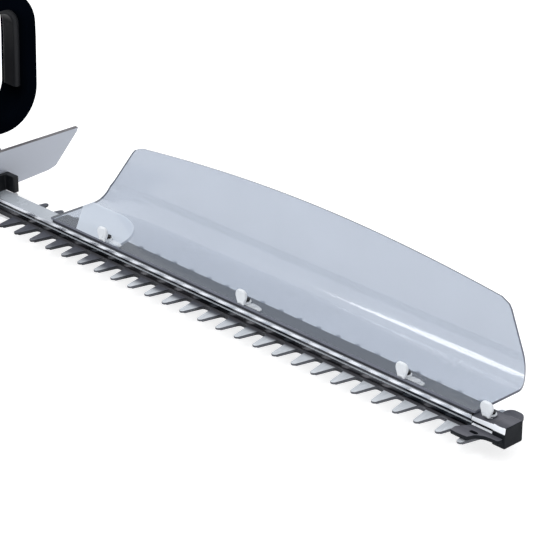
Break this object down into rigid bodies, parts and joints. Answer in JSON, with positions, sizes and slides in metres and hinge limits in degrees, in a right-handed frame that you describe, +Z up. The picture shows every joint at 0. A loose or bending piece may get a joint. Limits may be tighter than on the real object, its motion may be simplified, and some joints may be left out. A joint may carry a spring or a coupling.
{
  "type": "hedge trimmer",
  "caption": "Hedge trimmer: toothed blades slide back and forth under a rail with a clear clip-on cuttings collector; bow handle, rear grip with trigger, slide-on battery.",
  "frame": {"origin": "on the axis of the drive gear, in the plane that the tool stands on, which is the underside of the base plate and of the battery", "axes": "+X along the blades towards their tip, +Y to the user's left, +Z up"},
  "size_m": [1.08, 0.192, 0.1885],
  "materials": {
    "blade_steel": "ground and polished steel",
    "plain_steel": "turned steel",
    "dark_steel": "black oxide",
    "rail_aluminium": "bright extruded, glossy",
    "cast_aluminium": "die cast, satin",
    "dark_aluminium": "dark anodised, drawn along its length",
    "tinted_sheet": "clear sheet with a blue-grey tint, glossy",
    "grey_sheet": "milky grey sheet, satin",
    "white_plastic": "smooth white",
    "black_plastic": "fine moulded grain",
    "shell_plastic": "fine moulded grain",
    "accent_plastic": "satin red",
    "contact_brass": "bright contacts",
    "circuit_board": "green board"
  },
  "bodies": {
    "tool_body": {"gear_axle": "plain_steel", "trigger_pin": "plain_steel", "blade_bolt_1": "dark_steel", "blade_bolt_2": "dark_steel", "blade_bolt_3": "dark_steel", "blade_bolt_4": "dark_steel", "blade_bolt_5": "dark_steel", "guard_screw_right": "dark_steel", "guard_screw_left": "dark_steel", "base_bolt_1": "dark_steel", "base_bolt_2": "dark_steel", "base_bolt_3": "dark_steel", "base_bolt_4": "dark_steel", "motor_can": "dark_steel", "housing_screw_1": "dark_steel", "housing_screw_2": "dark_steel", "housing_screw_3": "dark_steel", "housing_screw_4": "dark_steel", "handle_screw_left": "dark_steel", "handle_screw_right": "dark_steel", "blade_rail": "rail_aluminium", "base_plate": "cast_aluminium", "gearbox_housing": "cast_aluminium", "collector_mount_bar": "dark_aluminium", "collector_sheet": "tinted_sheet", "hand_guard": "grey_sheet", "tip_guard": "black_plastic", "guard_bracket": "black_plastic", "front_handle": "black_plastic", "battery_dock": "black_plastic", "switch_module": "black_plastic", "clip_stud_1": "black_plastic", "clip_stud_2": "black_plastic", "clip_stud_3": "black_plastic", "tip_knob_stud": "black_plastic", "housing_left": "shell_plastic", "housing_right": "shell_plastic", "terminal_block": "contact_brass", "controller_board": "circuit_board"},
    "upper_blade": {"upper_blade": "blade_steel"},
    "lower_blade": {"lower_blade": "blade_steel"},
    "drive_gear": {"drive_gear": "dark_steel"},
    "rotor": {"motor_pinion": "plain_steel", "cooling_fan": "black_plastic"},
    "front_switch_bar": {"front_switch_bar": "shell_plastic"},
    "rear_trigger": {"rear_trigger": "accent_plastic"},
    "lock_off_button": {"lock_off_button": "accent_plastic"},
    "battery_pack": {"battery_pack": "black_plastic"},
    "battery_release_button": {"battery_release_button": "accent_plastic"},
    "collector_clip_1": {"collector_clip_1": "white_plastic"},
    "collector_clip_2": {"collector_clip_2": "white_plastic"},
    "collector_clip_3": {"collector_clip_3": "white_plastic"},
    "tip_guard_knob": {"tip_guard_knob": "white_plastic"}
  },
  "joints": [
    {"name": "upper_blade_slide", "type": "slide", "parent": "tool_body", "child": "upper_blade", "axis": [1, 0, 0], "range_m": [-0.0054, 0.0054]},
    {"name": "lower_blade_slide", "type": "slide", "parent": "tool_body", "child": "lower_blade", "axis": [1, 0, 0], "range_m": [-0.0054, 0.0054]},
    {"name": "drive_gear_spin", "type": "hinge", "parent": "tool_body", "child": "drive_gear", "pos_m": [0, 0, 0.03], "axis": [0, 0, 1], "continuous": true},
    {"name": "rotor_spin", "type": "hinge", "parent": "tool_body", "child": "rotor", "pos_m": [-0.03, 0, 0.03], "axis": [0, 0, 1], "continuous": true},
    {"name": "front_switch_bar_press", "type": "slide", "parent": "tool_body", "child": "front_switch_bar", "axis": [0, 0, 1], "range_m": [0, 0.004], "stiffness_N_per_m": 1200, "springref_m": -0.004},
    {"name": "rear_trigger_pull", "type": "hinge", "parent": "tool_body", "child": "rear_trigger", "pos_m": [-0.116, 0, 0.093], "axis": [0, 1, 0], "range_deg": [0, 8], "stiffness_Nm_per_rad": 1, "springref_deg": -8.59},
    {"name": "lock_off_press", "type": "slide", "parent": "tool_body", "child": "lock_off_button", "axis": [0, 0, -1], "range_m": [0, 0.004], "stiffness_N_per_m": 800, "springref_m": -0.003},
    {"name": "battery_slide", "type": "slide", "parent": "tool_body", "child": "battery_pack", "axis": [0, 0, 1], "range_m": [0, 0.09]},
    {"name": "battery_release_press", "type": "slide", "parent": "battery_pack", "child": "battery_release_button", "axis": [1, 0, 0], "range_m": [0, 0.003], "stiffness_N_per_m": 600, "springref_m": -0.003},
    {"name": "collector_clip_1_turn", "type": "hinge", "parent": "tool_body", "child": "collector_clip_1", "pos_m": [0.2344, -0.003, 0.0345], "axis": [0, 0, 1], "range_deg": [-90, 0]},
    {"name": "collector_clip_2_turn", "type": "hinge", "parent": "tool_body", "child": "collector_clip_2", "pos_m": [0.4052, -0.003, 0.0345], "axis": [0, 0, 1], "range_deg": [-90, 0]},
    {"name": "collector_clip_3_turn", "type": "hinge", "parent": "tool_body", "child": "collector_clip_3", "pos_m": [0.5804, -0.003, 0.0345], "axis": [0, 0, 1], "range_deg": [-90, 0]},
    {"name": "tip_guard_knob_turn", "type": "hinge", "parent": "tool_body", "child": "tip_guard_knob", "pos_m": [0.6625, -0.0005, 0.0325], "axis": [0, 0, 1], "range_deg": [-90, 0]}
  ],
  "couplings": [
    {"joint": "lower_blade_slide", "follows": "upper_blade_slide", "ratio": -1},
    {"joint": "rotor_spin", "follows": "drive_gear_spin", "ratio": -4}
  ]
}
